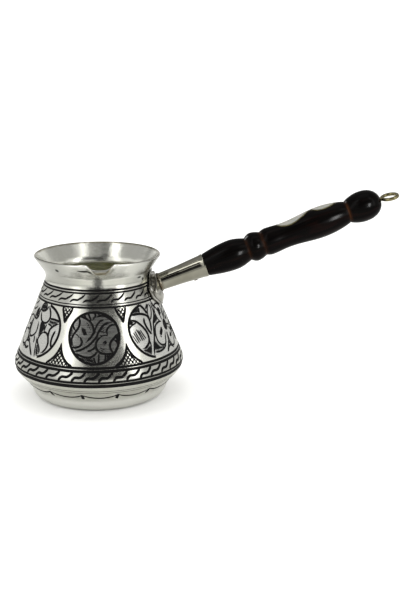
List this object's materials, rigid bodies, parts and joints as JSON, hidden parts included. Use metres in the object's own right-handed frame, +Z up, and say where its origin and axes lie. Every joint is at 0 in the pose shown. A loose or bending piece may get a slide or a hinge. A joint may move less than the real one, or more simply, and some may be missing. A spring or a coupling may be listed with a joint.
{
  "type": "turkish coffee pot",
  "caption": "Round long-handled coffee pot with a narrow neck, a pressed spout, engraved bands and a turned wooden handle with a hanging eye.",
  "frame": {"origin": "centre of the flat underside", "axes": "+Z up along the pot's axis, +X towards the handle, -Y towards the spout"},
  "size_m": [0.2036, 0.0888, 0.106],
  "materials": {
    "silver_plate": "polished silver plate on copper, engraved and blackened",
    "cast_silver": "silver-plated casting, satin",
    "nickel_plate": "nickel plate, polished",
    "dark_wood": "turned, dark stained, glossy lacquer",
    "mother_of_pearl": "mother-of-pearl, polished",
    "brass_wire": "drawn brass wire, slightly dull"
  },
  "bodies": {
    "pot": {"pot_body": "silver_plate", "handle_bracket": "cast_silver", "rivet_left": "cast_silver", "rivet_right": "cast_silver", "ferrule": "nickel_plate", "ferrule_nail": "nickel_plate", "handle_grip": "dark_wood", "pearl_inlay_front": "mother_of_pearl", "pearl_inlay_rear": "mother_of_pearl", "inlay_wire_front": "brass_wire", "inlay_wire_rear": "brass_wire"},
    "eye": {"hanging_eye": "brass_wire"}
  },
  "joints": [
    {"name": "eye_turn", "type": "hinge", "parent": "pot", "child": "eye", "pos_m": [0.14924, 0, 0.10085], "axis": [0.9403, 0, 0.3404], "range_deg": [-180, 180]}
  ]
}
